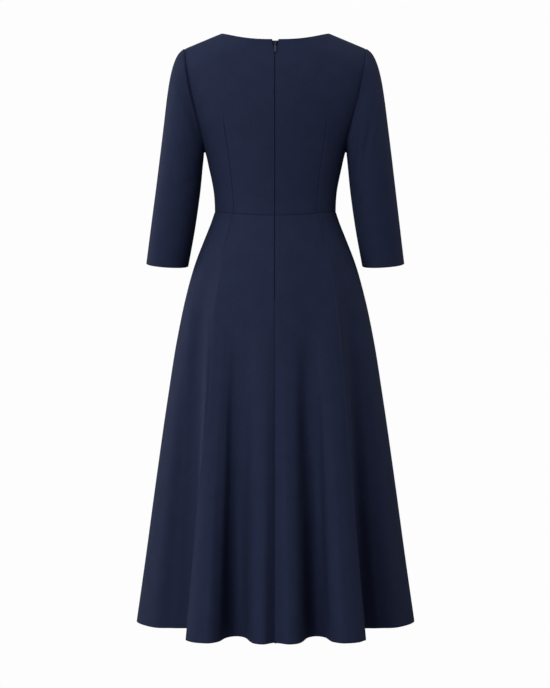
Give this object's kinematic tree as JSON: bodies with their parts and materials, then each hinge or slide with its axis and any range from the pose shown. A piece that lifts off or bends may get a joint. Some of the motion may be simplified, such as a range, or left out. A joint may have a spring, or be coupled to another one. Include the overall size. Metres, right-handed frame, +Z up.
{
  "type": "fit and flare dress",
  "caption": "Navy crepe fit and flare midi dress, hollow worn form: boat neck, three-quarter sleeves, back zip, gored skirt.",
  "frame": {"origin": "at shoulder level, midway between the two shoulder seams, where the wearer holds the dress up", "axes": "+X to the wearer's right, +Y out of the front of the dress, +Z up; the zip is in the back, at -Y"},
  "size_m": [0.571, 0.513, 1.2104],
  "materials": {
    "crepe": "matte woven crepe",
    "zip_tape": "matte woven tape",
    "zip_metal": "dark satin lacquer"
  },
  "bodies": {
    "dress": {"bodice_front": "crepe", "bodice_back_left": "crepe", "bodice_back_right": "crepe", "sleeve_left": "crepe", "sleeve_right": "crepe", "skirt_front": "crepe", "skirt_centre_back_left": "crepe", "skirt_centre_back_right": "crepe", "skirt_side_back_left": "crepe", "skirt_side_back_right": "crepe", "zip_tape_left": "zip_tape", "zip_tape_right": "zip_tape", "zip_slider": "zip_metal"},
    "pull_tab": {"zip_pull": "zip_metal"}
  },
  "joints": [
    {"name": "pull_swing", "type": "hinge", "parent": "dress", "child": "pull_tab", "pos_m": [0, -0.07975, -0.01733], "axis": [-1, 0, 0], "range_deg": [0, 130]}
  ]
}
